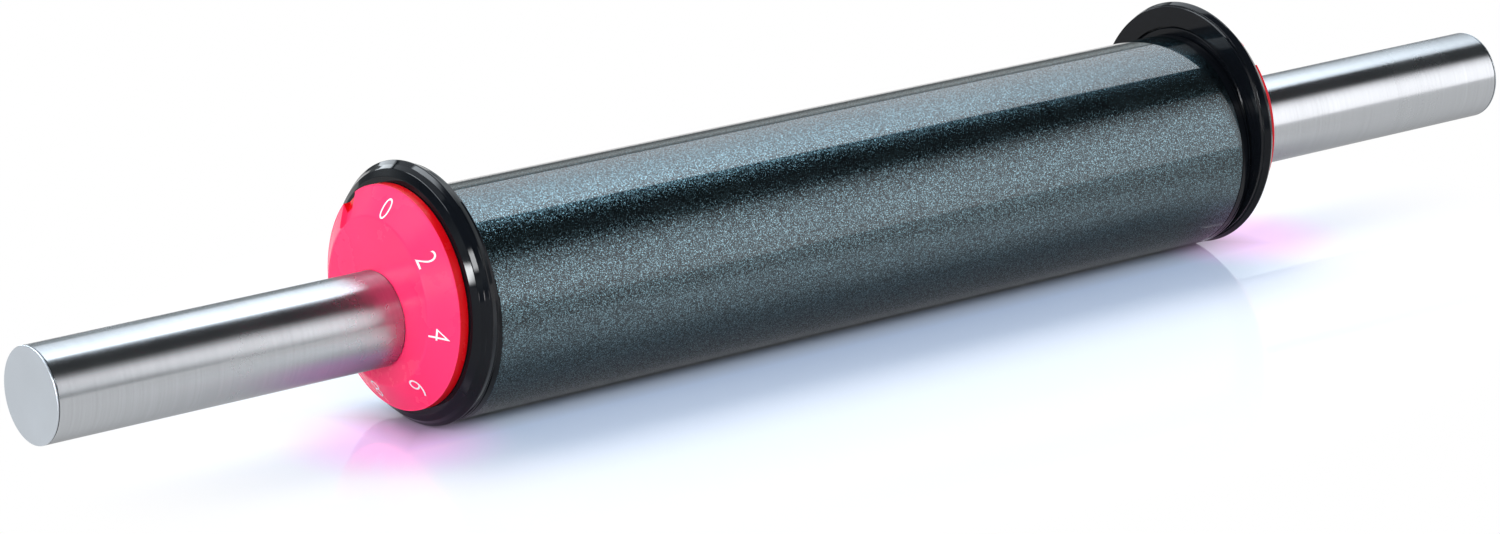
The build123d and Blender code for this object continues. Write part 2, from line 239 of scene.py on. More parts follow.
def turned_piece(name, corners, solid=False):
    """Piece turned about the pin's length: a circle at the first corner is extruded from corner to corner.
    A hollow piece closes on its first corner, and a solid one gets a face at each end."""
    reach, radius, line = corners[0]
    start_clean()
    bpy.ops.mesh.primitive_circle_add(
        vertices=settings().steps,
        radius=radius * MM,
        fill_type="NOTHING",
        location=(reach * MM, 0, height_of(line)),
        rotation=(0, math.pi / 2, 0),
    )
    piece = name_piece(bpy.context.object, name)
    place_in_mesh(piece)
    path = list(corners) + ([] if solid else [corners[0]])
    bpy.ops.object.mode_set(mode="EDIT")
    bpy.ops.mesh.select_all(action="SELECT")
    for (reach, radius, line), (next_reach, next_radius, next_line) in zip(path, path[1:]):
        bpy.ops.mesh.extrude_region_move(TRANSFORM_OT_translate={
            "value": ((next_reach - reach) * MM, 0, height_of(next_line) - height_of(line)),
        })
        growth = next_radius / radius
        centre = (next_reach * MM, 0, height_of(next_line))
        bpy.ops.transform.resize(value=(1, growth, growth), center_override=centre)
    bpy.ops.mesh.select_all(action="SELECT")
    bpy.ops.mesh.remove_doubles(threshold=MERGE_DISTANCE)
    if solid:
        for corner in (corners[0], corners[-1]):
            pick_circle(piece, corner)
            bpy.ops.mesh.edge_face_add()
            bpy.ops.mesh.poke()
    bpy.ops.mesh.select_all(action="SELECT")
    bpy.ops.mesh.normals_make_consistent(inside=False)
    bpy.ops.object.mode_set(mode="OBJECT")
    return piece


def pick_edges(piece, wanted):
    """Selects the edges whose two ends pass a test of their place. The piece is in edit mode."""
    bpy.ops.mesh.select_mode(type="EDGE")
    bpy.ops.mesh.select_all(action="DESELECT")
    work = bmesh.from_edit_mesh(piece.data)
    for edge in work.edges:
        edge.select_set(wanted(edge.verts[0].co, edge.verts[1].co))
    if not any(edge.select for edge in work.edges):
        raise RuntimeError(f"{piece.name} has no edge at the place asked for")
    bmesh.update_edit_mesh(piece.data)


def pick_circle(piece, corner):
    reach, radius, line = corner

    def on_circle(place):
        out = math.hypot(place.y, place.z - height_of(line))
        return abs(place.x - reach * MM) < SAME_PLACE and abs(out - radius * MM) < SAME_PLACE

    pick_edges(piece, lambda first, last: on_circle(first) and on_circle(last))


def round_corners(piece, corners, width, segments=3):
    """Bevels turned corners into rounds."""
    select_only(piece)
    bpy.ops.object.mode_set(mode="EDIT")
    for corner in corners:
        pick_circle(piece, corner)
        bpy.ops.mesh.bevel(offset=width, segments=segments, affect="EDGES", clamp_overlap=True)
    bpy.ops.object.mode_set(mode="OBJECT")


def finish_surface(piece, angle=32):
    """Smooth shading on round faces, with flat faces kept flat."""
    select_only(piece)
    bpy.ops.object.shade_smooth_by_angle(angle=math.radians(angle), keep_sharp_edges=True)
    weighted = piece.modifiers.new("Even normals", "WEIGHTED_NORMAL")
    weighted.keep_sharp = True
    bpy.ops.object.modifier_apply(modifier=weighted.name)


def cut_away(piece, cutter):
    """Cuts the cutter's shape out of the piece."""
    select_only(piece)
    cut = piece.modifiers.new("Cut", "BOOLEAN")
    cut.operation = "DIFFERENCE"
    cut.solver = "EXACT"
    cut.object = cutter
    bpy.ops.object.modifier_apply(modifier=cut.name)
    bpy.data.objects.remove(cutter, do_unlink=True)


def grooved(corners, after, outward):
    """The corners with a round-bottomed groove for each friction ring put in after one of them."""
    radius, line = corners[after][1:]
    low = math.asin((radius - GROOVE_CENTRE) / GROOVE_RADIUS)
    heading = -1 if outward else 1
    sweep = math.pi - 2 * low if outward else math.pi + 2 * low
    start = low if outward else math.pi - low
    grooves = []
    for middle in GROOVE_REACHES[::heading]:
        for step in range(GROOVE_STEPS + 1):
            turn = start + sweep * step / GROOVE_STEPS
            grooves.append((
                middle + GROOVE_RADIUS * math.cos(turn),
                GROOVE_CENTRE + GROOVE_RADIUS * math.sin(turn),
                line,
            ))
    return corners[:after + 1] + tuple(grooves) + corners[after + 1:]


def around(angle):
    """Direction at an angle round the pin, clockwise from straight up as seen from outside."""
    turn = math.radians(angle)
    return Vector((0, math.sin(turn), math.cos(turn)))


def dress(piece, body, node, slot_name, look=None):
    """Gives a piece its finish and its body, and lets it stand for its node. The finish is that of its slot,
    unless another look is named."""
    piece.data.materials.clear()
    piece.data.materials.append(finish(look or slot_name))
    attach(piece, body)
    if node:
        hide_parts(node)


def dress_both_ends(piece, name, body, node, slot_name, look=None):
    """Dresses a piece made at the right end, and its copy turned half a circle about the upright axis."""
    select_only(piece)
    bpy.ops.object.duplicate(linked=False)
    other = bpy.context.object
    other.rotation_euler = (0, 0, math.pi)
    place_in_mesh(other)
    for side, part in (("right", piece), ("left", other)):
        name_piece(part, f"{side}_{name}")
        dress(part, body.format(side=side), node and f"{side}_{node}", slot_name, look)


# Material helpers


def add_node(tree, kind, **values):
    node = tree.nodes.new(kind)
    for name, value in values.items():
        setattr(node, name, value)
    return node


def feed(tree, socket, value):
    """Links another node's socket to an input, or sets the input to a plain value."""
    if isinstance(value, bpy.types.NodeSocket):
        tree.links.new(value, socket)
    else:
        socket.default_value = value


def computed(tree, operation, *values, clamp=False):
    """Socket of a maths node; the values are numbers or sockets."""
    step = add_node(tree, "ShaderNodeMath", operation=operation, use_clamp=clamp)
    for socket, value in zip(step.inputs, values):
        feed(tree, socket, value)
    return step.outputs[0]


def vector_computed(tree, operation, *values, scale=None):
    """Outputs of a vector maths node; the values are vectors or sockets, and only scaling takes a scale."""
    step = add_node(tree, "ShaderNodeVectorMath", operation=operation)
    for socket, value in zip(step.inputs, values):
        feed(tree, socket, value)
    if scale is not None:
        feed(tree, step.inputs["Scale"], scale)
    return step.outputs


def own_place(tree):
    """Socket of a point's place in its piece's own coordinates."""
    return add_node(tree, "ShaderNodeTexCoord").outputs["Object"]


def split(tree, place):
    """The X, Y and Z sockets of a place."""
    parts = add_node(tree, "ShaderNodeSeparateXYZ")
    tree.links.new(place, parts.inputs[0])
    return parts.outputs


def noise(tree, place, **inputs):
    """Socket of a solid noise; its inputs are numbers or sockets."""
    cloud = add_node(tree, "ShaderNodeTexNoise", noise_dimensions="3D")
    tree.links.new(place, cloud.inputs["Vector"])
    for label, value in inputs.items():
        feed(tree, cloud.inputs[label], value)
    return cloud.outputs["Fac"]


def cells(tree, feature, scale):
    """Outputs of a solid pattern of cells in the piece's own coordinates."""
    pattern = add_node(tree, "ShaderNodeTexVoronoi", feature=feature, voronoi_dimensions="3D")
    tree.links.new(own_place(tree), pattern.inputs["Vector"])
    tree.links.new(scale, pattern.inputs["Scale"])
    return pattern.outputs


def ranged(tree, value, low, high, to_low=0.0, to_high=1.0, smooth=False):
    """Socket of a Map Range node; the ends are numbers or sockets."""
    spread = add_node(tree, "ShaderNodeMapRange", interpolation_type="SMOOTHSTEP" if smooth else "LINEAR")
    tree.links.new(value, spread.inputs["Value"])
    for label, end in (("From Min", low), ("From Max", high), ("To Min", to_low), ("To Max", to_high)):
        feed(tree, spread.inputs[label], end)
    return spread.outputs["Result"]


def shader_group(name, inputs, outputs):
    """Empty node group with named inputs and outputs."""
    group = bpy.data.node_groups.new(name, "ShaderNodeTree")
    for label, default in inputs:
        socket = group.interface.new_socket(label, in_out="INPUT", socket_type="NodeSocketFloat")
        socket.default_value = default
    for label, kind in outputs:
        group.interface.new_socket(label, in_out="OUTPUT", socket_type=kind)
    return group, add_node(group, "NodeGroupInput").outputs, add_node(group, "NodeGroupOutput").inputs


FLOAT = "NodeSocketFloat"
VECTOR = "NodeSocketVector"
FLAKE_RARITY = 4.0
SMUDGE_RANGE = (0.38, 0.66)
SCRATCH_WIDTH = 0.012
SHADE_PATCHES = 70.0
LINE_STRETCH = 60


def build_flakes_group():
    """Flakes of metal under a clear coat: a tilted normal and a brightness for each flake."""
    group, given, result = shader_group(
        "Metal flakes", [("Flakes per metre", 3300.0), ("Tilt", 0.3)],
        [("Normal", VECTOR), ("Brightness", FLOAT)])
    flake = cells(group, "F1", given["Flakes per metre"])["Color"]
    centred = vector_computed(group, "SUBTRACT", flake, (0.5, 0.5, 0.5))[0]
    scaled = vector_computed(group, "SCALE", centred, scale=given["Tilt"])[0]
    shape = add_node(group, "ShaderNodeNewGeometry")
    tilted = vector_computed(group, "ADD", shape.outputs["Normal"], scaled)[0]
    group.links.new(vector_computed(group, "NORMALIZE", tilted)[0], result["Normal"])
    parts = add_node(group, "ShaderNodeSeparateColor")
    group.links.new(flake, parts.inputs["Color"])
    group.links.new(computed(group, "POWER", parts.outputs["Red"], FLAKE_RARITY), result["Brightness"])
    return group


def build_brushing_group():
    """Fine lines round a turned or brushed piece: a height for a bump, and streaks."""
    group, given, result = shader_group(
        "Brushed round", [("Lines per metre", 5000.0), ("Along the line", 110.0)],
        [("Height", FLOAT), ("Streak", FLOAT)])
    parts = split(group, own_place(group))
    stretched = add_node(group, "ShaderNodeCombineXYZ")
    for axis, rate in (("X", "Lines per metre"), ("Y", "Along the line"), ("Z", "Along the line")):
        group.links.new(computed(group, "MULTIPLY", parts[axis], given[rate]), stretched.inputs[axis])
    for label, scale, detail in (("Height", 1.0, 2.0), ("Streak", 0.35, 3.0)):
        group.links.new(noise(group, stretched.outputs[0], Scale=scale, Detail=detail), result[label])
    return group


def build_smudges_group():
    """Slow, patchy change of gloss from handling, between two values."""
    group, given, result = shader_group(
        "Handling smudges", [("Patches per metre", 45.0), ("Clean", 0.1), ("Smudged", 0.2)],
        [("Value", FLOAT)])
    patches = noise(group, own_place(group), Scale=given["Patches per metre"], Detail=5.0, Roughness=0.6)
    gloss = ranged(group, patches, *SMUDGE_RANGE, given["Clean"], given["Smudged"])
    group.links.new(gloss, result["Value"])
    return group


def build_scratches_group():
    """Hairline scratches, as a height for a bump."""
    group, given, result = shader_group(
        "Hairline scratches", [("Scratches per metre", 220.0)], [("Height", FLOAT)])
    edges = cells(group, "DISTANCE_TO_EDGE", given["Scratches per metre"])["Distance"]
    group.links.new(ranged(group, edges, 0.0, SCRATCH_WIDTH), result["Height"])
    return group


def build_grain_group():
    """Faint unevenness of a moulded or cast surface: a fine height for a bump, and a slow shade."""
    group, given, result = shader_group(
        "Moulded grain", [("Grains per metre", 900.0)], [("Height", FLOAT), ("Shade", FLOAT)])
    place = own_place(group)
    group.links.new(noise(group, place, Scale=given["Grains per metre"], Detail=3.0), result["Height"])
    group.links.new(noise(group, place, Scale=SHADE_PATCHES), result["Shade"])
    return group


def build_reach_group():
    """Distance from the middle of the roller, along the pin's length."""
    group, _, result = shader_group("Reach", [], [("Reach", FLOAT)])
    along = split(group, own_place(group))["X"]
    group.links.new(computed(group, "ABSOLUTE", along), result["Reach"])
    return group


GROUP_BUILDERS = {
    "Reach": build_reach_group,
    "Metal flakes": build_flakes_group,
    "Brushed round": build_brushing_group,
    "Handling smudges": build_smudges_group,
    "Hairline scratches": build_scratches_group,
    "Moulded grain": build_grain_group,
}


def use_group(tree, name, **values):
    """Places a shared group in a material, building it the first time."""
    group = bpy.data.node_groups.get(name) or GROUP_BUILDERS[name]()
    node = add_node(tree, "ShaderNodeGroup", node_tree=group)
    for label, value in values.items():
        node.inputs[label.replace("_", " ")].default_value = value
    return node.outputs


def new_finish(name):
    """New node material with its principled shader."""
    material = bpy.data.materials.new(name)
    material.use_nodes = True
    tree = material.node_tree
    return material, tree, tree.nodes["Principled BSDF"].inputs


def wire_bump(tree, shader, height, strength, distance):
    bump = add_node(tree, "ShaderNodeBump")
    bump.inputs["Strength"].default_value = strength
    bump.inputs["Distance"].default_value = distance
    tree.links.new(height, bump.inputs["Height"])
    tree.links.new(bump.outputs["Normal"], shader["Normal"])


def mixed_colour(tree, factor, low, high):
    """Socket of a colour that runs from low to high with a factor; each end is a colour or a socket."""
    mix = add_node(tree, "ShaderNodeMix", data_type="RGBA")
    tree.links.new(factor, mix.inputs["Factor"])
    for socket, end in ((mix.inputs[6], low), (mix.inputs[7], high)):
        feed(tree, socket, end if isinstance(end, bpy.types.NodeSocket) else (*end, 1))
    return mix.outputs[2]


def shade_between(tree, shader, factor, dark, light):
    """Base colour that runs from dark to light with a factor over the surface."""
    tree.links.new(mixed_colour(tree, factor, dark, light), shader["Base Color"])


def tinted(colour, factor):
    return tuple(min(1.0, channel * factor) for channel in colour)


def coating_finish():
    """Non-stick coating: dark ground, metal flakes and a clear glossy top."""
    material, tree, shader = new_finish("Roller coating")
    flakes = use_group(tree, "Metal flakes", Flakes_per_metre=5200.0, Tilt=0.2)
    shade_between(tree, shader, flakes["Brightness"], colours().coating, colours().flakes)
    tree.links.new(flakes["Normal"], shader["Normal"])
    shader["Metallic"].default_value = 1.0
    shader["Roughness"].default_value = 0.25
    smudges = use_group(tree, "Handling smudges", Patches_per_metre=30.0, Clean=1.0, Smudged=0.94)
    tree.links.new(smudges["Value"], shader["Coat Weight"])
    shader["Coat Roughness"].default_value = 0.025
    shader["Coat IOR"].default_value = 1.36
    shader["Specular Tint"].default_value = (0.25, 0.25, 0.25, 1)
    return material


def black_gloss_finish(name, clean, smudged):
    """Glossy black moulding with faint smudges and hairlines."""
    material, tree, shader = new_finish(name)
    grain = use_group(tree, "Moulded grain", Grains_per_metre=700.0)
    shade_between(tree, shader, grain["Shade"], tinted(colours().ring, 0.8), tinted(colours().ring, 1.3))
    smudges = use_group(tree, "Handling smudges", Patches_per_metre=60.0, Clean=clean, Smudged=smudged)
    tree.links.new(smudges["Value"], shader["Roughness"])
    scratches = use_group(tree, "Hairline scratches", Scratches_per_metre=220.0)
    wire_bump(tree, shader, scratches["Height"], 0.03, 0.01 * MM)
    shader["Specular IOR Level"].default_value = 0.135
    return material


def dial_finish():
    """Glossy red moulding, with painted shade: its sides are a darker, deeper red."""
    material, tree, shader = new_finish("Red plastic")
    grain = use_group(tree, "Moulded grain", Grains_per_metre=800.0)
    face = mixed_colour(tree, grain["Shade"], tinted(colours().dial, 0.95), tinted(colours().dial, 1.05))
    # Painted shade: short of its band, the dial's side is coloured a darker, deeper red
    reach = use_group(tree, "Reach")
    rim = ranged(tree, reach["Reach"], DIAL_CORNERS[5][0] * MM - RIM_PAINTED_SHADE, DIAL_CORNERS[5][0] * MM)
    tree.links.new(mixed_colour(tree, rim, colours().dial_rim, face), shader["Base Color"])
    smudges = use_group(tree, "Handling smudges", Patches_per_metre=55.0, Clean=0.25, Smudged=0.29)
    tree.links.new(smudges["Value"], shader["Roughness"])
    wire_bump(tree, shader, grain["Height"], 0.08, 0.02 * MM)
    shader["Specular IOR Level"].default_value = 0.12
    return material


def ink_finish():
    material, tree, shader = new_finish("White ink")
    grain = use_group(tree, "Moulded grain", Grains_per_metre=4000.0)
    shade_between(tree, shader, grain["Height"], tinted(colours().numerals, 0.93), colours().numerals)
    shader["Roughness"].default_value = 0.4
    return material


def brushed_finish(name, colour, roughness, lines, strength):
    """Steel brushed or turned round the pin's length."""
    material, tree, shader = new_finish(name)
    brushing = use_group(tree, "Brushed round", Lines_per_metre=lines, Along_the_line=lines / LINE_STRETCH)
    shade_between(tree, shader, brushing["Streak"], tinted(colour, 0.92), tinted(colour, 1.08))
    smudges = use_group(
        tree, "Handling smudges", Patches_per_metre=38.0, Clean=roughness * 0.92, Smudged=roughness * 1.12)
    tree.links.new(smudges["Value"], shader["Roughness"])
    wire_bump(tree, shader, brushing["Height"], strength, 0.02 * MM)
    shader["Metallic"].default_value = 1.0
    shader["Specular Tint"].default_value = (0.55, 0.55, 0.55, 1)
    shader["Anisotropic"].default_value = 0.8
    shader["Anisotropic Rotation"].default_value = 0.25
    lines_way = add_node(tree, "ShaderNodeTangent", direction_type="RADIAL", axis="X")
    tree.links.new(lines_way.outputs["Tangent"], shader["Tangent"])
    return material


def disc_finish():
    """Rubbed steel disc with painted shade, a dark band, in the seam behind its rim."""
    material = satin_finish("Satin disc steel", (0.49, 0.53, 0.575), 0.34)
    tree = material.node_tree
    base = tree.nodes["Principled BSDF"].inputs["Base Color"]
    # Painted shade: the disc turns nearly black towards the seam behind its rim
    reach = use_group(tree, "Reach")
    seam = ranged(tree, reach["Reach"], DISC_CORNERS[2][0] * MM + SEAM_PAINTED_SHADE, DISC_CORNERS[2][0] * MM)
    tree.links.new(mixed_colour(tree, seam, base.links[0].from_socket, (0.03, 0.035, 0.04)), base)
    return material


def satin_finish(name, colour, roughness):
    """Blasted or rubbed steel with a fine even grain."""
    material, tree, shader = new_finish(name)
    grain = use_group(tree, "Moulded grain", Grains_per_metre=5200.0)
    shade_between(tree, shader, grain["Shade"], tinted(colour, 0.93), tinted(colour, 1.07))
    smudges = use_group(
        tree, "Handling smudges", Patches_per_metre=90.0, Clean=roughness * 0.9, Smudged=roughness * 1.15)
    tree.links.new(smudges["Value"], shader["Roughness"])
    wire_bump(tree, shader, grain["Height"], 0.15, 0.01 * MM)
    shader["Metallic"].default_value = 1.0
    return material


def rubber_finish():
    material, tree, shader = new_finish("Friction rubber")
    grain = use_group(tree, "Moulded grain", Grains_per_metre=3500.0)
    shade_between(tree, shader, grain["Height"], (0.012, 0.012, 0.013), (0.03, 0.03, 0.032))
    wire_bump(tree, shader, grain["Height"], 0.3, 0.02 * MM)
    shader["Roughness"].default_value = 0.7
    return material


FINISH_MAKERS = {
    "roller_coating": coating_finish,
    "ring_black_plastic": lambda: black_gloss_finish("Glossy black ring", 0.04, 0.08),
    "black_plastic": lambda: black_gloss_finish("Black moulding", 0.12, 0.22),
    "red_plastic": dial_finish,
    "white_ink": ink_finish,
    "handle_steel": lambda: brushed_finish("Brushed handle steel", colours().steel, 0.25, 6000.0, 0.12),
    "end_disc_steel": disc_finish,
    "plain_steel": lambda: brushed_finish("Turned steel", (0.52, 0.52, 0.53), 0.32, 3000.0, 0.3),
    "bearing_steel": lambda: satin_finish("Ground bearing steel", (0.68, 0.68, 0.69), 0.12),
    "cage_steel": lambda: satin_finish("Pressed cage steel", (0.6, 0.56, 0.48), 0.3),
    "spring_steel": lambda: satin_finish("Phosphated spring steel", (0.13, 0.13, 0.14), 0.45),
    "friction_rubber": rubber_finish,
}
made_finishes = {}


def finish(slot_name):
    if slot_name not in made_finishes:
        made_finishes[slot_name] = FINISH_MAKERS[slot_name]()
    return made_finishes[slot_name]


# Pieces


class MakeRoller(bpy.types.Operator):
    """Makes the coated roller tube with rounded ends"""

    bl_idname = "rolling_pin.make_roller"
    bl_label = "Roller"

    def execute(self, context):
        roller = turned_piece("roller_barrel", ROLLER_CORNERS)
        round_corners(roller, ROLLER_CORNERS, settings().roller_edge)
        finish_surface(roller)
        dress(roller, "roller", "roller_tube", "roller_coating")
        return {"FINISHED"}


class MakeRings(bpy.types.Operator):
    """Makes the two glossy rings that set the dough's thickness"""

    bl_idname = "rolling_pin.make_rings"
    bl_label = "Thickness rings"

    def execute(self, context):
        ring = turned_piece("ring_rim", RING_CORNERS)
        round_corners(ring, RING_CORNERS[1:9], settings().ring_edge)
        finish_surface(ring)
        dress_both_ends(ring, "ring_rim", "{side}_thickness_ring", "ring", "ring_black_plastic")
        return {"FINISHED"}


class MakeDials(bpy.types.Operator):
    """Makes the two red dials with their eccentric bore, stop slot, screw holes and index notch"""

    bl_idname = "rolling_pin.make_dials"
    bl_label = "Dials"

    def execute(self, context):
        dial = turned_piece("dial_cap", grooved(DIAL_CORNERS, len(DIAL_CORNERS) - 1, True))
        round_corners(dial, DIAL_CORNERS[4:6], settings().dial_rim, 2)
        round_corners(dial, DIAL_CORNERS[6:7], settings().dial_crease, 4)
        cut_away(dial, self.slot_cutter())
        for angle in SCREW_ANGLES:
            cut_away(dial, self.screw_cutter(angle))
        cut_away(dial, self.notch_cutter())
        finish_surface(dial)
        dress_both_ends(dial, "dial_cap", "{side}_dial_set", "dial", "red_plastic")
        return {"FINISHED"}

    def slot_cutter(self):
        """Curved slot for the stop pin: a bar spun half round the pin."""
        start = DIAL_CORNERS[0][0] - CUT_OVERRUN
        start_clean()
        bpy.ops.mesh.primitive_plane_add(
            size=1,
            location=((SLOT_FLOOR + start) / 2 * MM, 0, AXIS_HEIGHT - SLOT_CIRCLE * MM),
            rotation=(math.pi / 2, 0, 0),
        )
        slot = name_piece(bpy.context.object, "slot_cutter")
        slot.scale = ((SLOT_FLOOR - start) * MM, 2 * SLOT_HALF_WIDTH * MM, 1)
        place_in_mesh(slot)
        bpy.ops.object.mode_set(mode="EDIT")
        bpy.ops.mesh.select_all(action="SELECT")
        bpy.ops.mesh.spin(steps=SLOT_STEPS, angle=math.pi, center=(0, 0, AXIS_HEIGHT), axis=(-1, 0, 0))
        bpy.ops.mesh.select_all(action="SELECT")
        bpy.ops.mesh.remove_doubles(threshold=MERGE_DISTANCE)
        bpy.ops.mesh.normals_make_consistent(inside=False)
        bpy.ops.object.mode_set(mode="OBJECT")
        return slot

    def screw_cutter(self, angle):
        start = DIAL_CORNERS[0][0] - CUT_OVERRUN
        place = around(angle) * SCREW_CIRCLE * MM
        start_clean()
        bpy.ops.mesh.primitive_cylinder_add(
            vertices=32,
            radius=SCREW_HOLE_RADIUS * MM,
            depth=(SCREW_HOLE_FLOOR - start) * MM,
            location=((SCREW_HOLE_FLOOR + start) / 2 * MM, place.y, RING_HEIGHT + place.z),
            rotation=(0, math.pi / 2, 0),
        )
        post = name_piece(bpy.context.object, "screw_cutter")
        place_in_mesh(post)
        return post

    def notch_cutter(self):
        """Rounded block that cuts the index notch into the band and out through the rim."""
        start_clean()
        bpy.ops.mesh.primitive_cube_add(size=1)
        block = name_piece(bpy.context.object, "notch_cutter")
        block.scale = (NOTCH_WIDTH * MM, (BAND_LENGTH + NOTCH_RUNOUT) * MM, (NOTCH_DEPTH + CUT_OVERRUN) * MM)
        place_in_mesh(block)
        bpy.ops.object.mode_set(mode="EDIT")
        pick_edges(block, lambda first, last: math.dist(first.xy, last.xy) < SAME_PLACE)
        bpy.ops.mesh.bevel(offset=NOTCH_CORNER * MM, segments=8, affect="EDGES")
        bpy.ops.object.mode_set(mode="OBJECT")
        shift = Matrix.Translation((0, NOTCH_RUNOUT / 2 * MM, (CUT_OVERRUN - NOTCH_DEPTH) / 2 * MM))
        block.matrix_world = band_frame(NOTCH_ANGLE, 0.5) @ shift
        place_in_mesh(block)
        return block


def band_frame(angle, share):
    """Matrix of a place on the dial's band: right, outward along the band, and away from the dial."""
    outward = around(angle)
    run = BAND_OUTER[1] - BAND_INNER[1]
    rise = BAND_INNER[0] - BAND_OUTER[0]
    along = (outward * run - Vector((rise, 0, 0))).normalized()
    away = (outward * rise + Vector((run, 0, 0))).normalized()
    reach = BAND_INNER[0] - share * rise
    radius = BAND_INNER[1] + share * run
    centre = outward * radius * MM + Vector((reach * MM, 0, RING_HEIGHT))
    return Matrix.Translation(centre) @ Matrix((along.cross(away), along, away)).transposed().to_4x4()


class MakeNumerals(bpy.types.Operator):
    """Prints the setting numerals on the dials' sloping bands"""

    bl_idname = "rolling_pin.make_numerals"
    bl_label = "Numerals"

    def execute(self, context):
        dial = bpy.data.objects["right_dial_cap"]
        for digit, angle in NUMERALS:
            numeral = self.printed(digit, angle, dial)
            dress_both_ends(numeral, f"numeral_{digit}", "{side}_dial_set", None, "red_plastic", "white_ink")
        return {"FINISHED"}

    def printed(self, digit, angle, dial):
        start_clean()
        bpy.ops.object.text_add()
        numeral = bpy.context.object
        numeral.data.body = digit
        numeral.data.offset = NUMERAL_THINNING
        numeral.data.resolution_u = NUMERAL_CURVE_STEPS
        select_only(numeral)
        bpy.ops.object.convert(target="MESH")
        numeral = name_piece(bpy.context.object, f"numeral_{digit}")
        lows = [min(v.co[i] for v in numeral.data.vertices) for i in range(2)]
        highs = [max(v.co[i] for v in numeral.data.vertices) for i in range(2)]
        growth = settings().numeral_height / (highs[1] - lows[1])
        centred = Matrix.Translation((-(lows[0] + highs[0]) / 2, -(lows[1] + highs[1]) / 2, 0))
        sized = Matrix.Diagonal((growth * NUMERAL_NARROWING, growth, growth, 1))
        numeral.matrix_world = band_frame(angle, settings().numeral_place) @ sized @ centred
        place_in_mesh(numeral)
        bpy.ops.object.mode_set(mode="EDIT")
        bpy.ops.mesh.select_all(action="SELECT")
        bpy.ops.mesh.remove_doubles(threshold=MERGE_DISTANCE)
        bpy.ops.mesh.subdivide(number_cuts=1)
        bpy.ops.object.mode_set(mode="OBJECT")
        wrap = numeral.modifiers.new("Wrap", "SHRINKWRAP")
        wrap.target = dial
        wrap.wrap_method = "NEAREST_SURFACEPOINT"
        wrap.wrap_mode = "ABOVE_SURFACE"
        wrap.offset = settings().numeral_ink / 3
        bpy.ops.object.modifier_apply(modifier=wrap.name)
        ink = numeral.modifiers.new("Ink", "SOLIDIFY")
        ink.thickness = settings().numeral_ink
        ink.offset = 1.0
        bpy.ops.object.modifier_apply(modifier=ink.name)
        bpy.ops.object.mode_set(mode="EDIT")
        bpy.ops.mesh.select_all(action="SELECT")
        bpy.ops.mesh.normals_make_consistent(inside=False)
        bpy.ops.object.mode_set(mode="OBJECT")
        return numeral


class MakeHandles(bpy.types.Operator):
    """Makes the brushed handle tubes and the discs that close their ends"""

    bl_idname = "rolling_pin.make_handles"
    bl_label = "Handles"

    def execute(self, context):
        tube = turned_piece("handle_grip", grooved(HANDLE_CORNERS, 1, False))
        round_corners(tube, HANDLE_CORNERS[3:4], SHOULDER_ROUND, 2)
        round_corners(tube, HANDLE_CORNERS[4:5], settings().disc_rim, 2)
        finish_surface(tube)
        dress_both_ends(tube, "handle_grip", "axle_and_handles", "handle_tube", "handle_steel")
        disc = turned_piece("handle_disc", DISC_CORNERS, solid=True)
        round_corners(disc, DISC_CORNERS[2:], settings().disc_rim, 3)
        finish_surface(disc)
        dress_both_ends(disc, "handle_disc", "axle_and_handles", "handle_end_disc", "end_disc_steel")
        return {"FINISHED"}


class FinishInnerParts(bpy.types.Operator):
    """Finishes the frame's own parts: end caps, bearings, axle, stops, screws and friction rings"""

    bl_idname = "rolling_pin.finish_inner_parts"
    bl_label = "Caps, bearings and axle"

    def execute(self, context):
        slots = {part["node"]: part["material_slot"] for part in frame["record"]["subparts"]}
        for name, node in nodes.items():
            node.data.materials.clear()
            node.data.materials.append(finish(slots[name]))
        return {"FINISHED"}


# Studio

COOL = (0.87, 0.94, 1.0)
NEAR_WHITE = (0.95, 0.98, 1.0)
LEFT_DIAL = (-DIAL_CORNERS[4][0] * MM, 0, RING_HEIGHT)
SOFT_EDGES = {"fades": (0.3, 0.3, 0.3)}
CARD = {"fades": (0.12, 0.12, 0.2), "card": True}

# Softboxes: name, brightness setting and share of it, place, target, size, tint and further options
SOFTBOXES = (
    ("overhead_softbox", "overhead", 1, (0.78, 0.607, 0.947), (0.78, 0, AXIS_HEIGHT), (0.96, 1.24),
     COOL, {"shares": (0.4, 1)}),
    ("overhead_left_softbox", "overhead", 0.3, (-0.25, 0.607, 0.947), (-0.25, 0, AXIS_HEIGHT), (0.9, 1.24),
     COOL, {"fades": (0.1, 0.05, 0.05)}),
    ("rear_left_card", "overhead", 3.2, (-0.76, 0.5, 0.8), LEFT_DIAL, (1.05, 0.34), COOL, CARD),
    ("rear_card", "overhead", 1.5, (-0.102, 1.04, 0.393), LEFT_DIAL, (0.45, 0.3), COOL, CARD),
    ("front_softbox", "front", 1, (1.36, -0.98, 0.64), (1.36, 0, 0.64), (2.3, 1.9), (1.0, 0.98, 0.99),
     {"fades": (0.12, 0.1, 0.45), "roll": 30}),
    ("left_softbox", "left", 1, (-1.2, -0.02, 0.115), LEFT_DIAL, (0.24, 0.2), NEAR_WHITE, SOFT_EDGES),
    ("front_left_softbox", "left", 0.5, (-0.759, -0.767, 0.605), LEFT_DIAL, (0.18, 0.4),
     NEAR_WHITE, SOFT_EDGES),
    ("low_left_softbox", "left", 0.25, (-0.85, -0.75, 0.08), LEFT_DIAL, (0.3, 0.14),
     (1.0, 0.97, 0.98), SOFT_EDGES),
)
KEY_PLACE = (0.1, 0.6, 1.3)
KEY_TARGET = (0, 0, 0)
KEY_SIZE = 0.7
KEY_TINT = (1.0, 0.95, 0.88)

